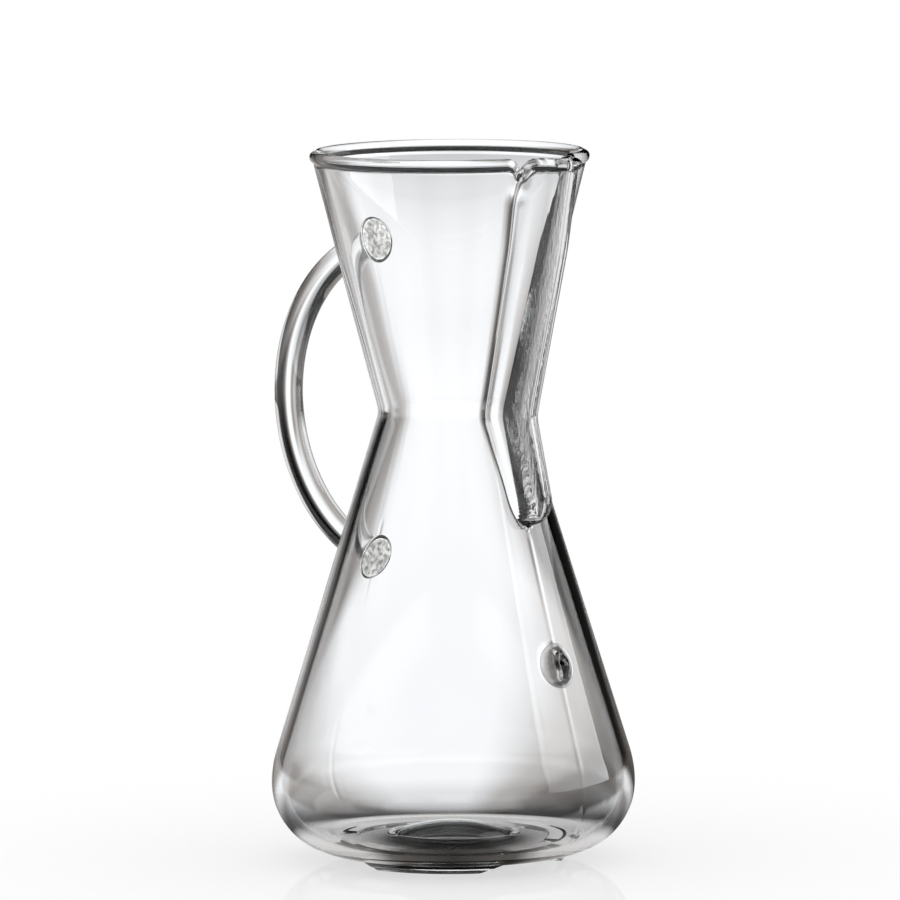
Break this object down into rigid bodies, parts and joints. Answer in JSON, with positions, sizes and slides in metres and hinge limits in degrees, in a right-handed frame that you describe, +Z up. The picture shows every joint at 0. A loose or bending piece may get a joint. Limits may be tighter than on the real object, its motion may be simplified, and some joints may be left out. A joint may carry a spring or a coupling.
{
  "type": "pour-over coffee maker",
  "caption": "Hourglass pour-over coffee maker in clear glass with a pour channel, a rolled rim, a bent glass rod handle and a level button on the flask.",
  "frame": {"origin": "on the vessel's axis, in the plane of the table that its feet stand on", "axes": "+Z up along the vessel's axis; +X towards the pour channel; the handle is towards -X"},
  "size_m": [0.1243, 0.1054, 0.2064],
  "materials": {
    "body_glass": "clear, fire polished",
    "rod_glass": "clear, fire polished"
  },
  "bodies": {
    "root": {"carafe_body": "body_glass", "handle_rod": "rod_glass", "upper_handle_weld": "rod_glass", "lower_handle_weld": "rod_glass", "level_button": "rod_glass"}
  },
  "joints": []
}
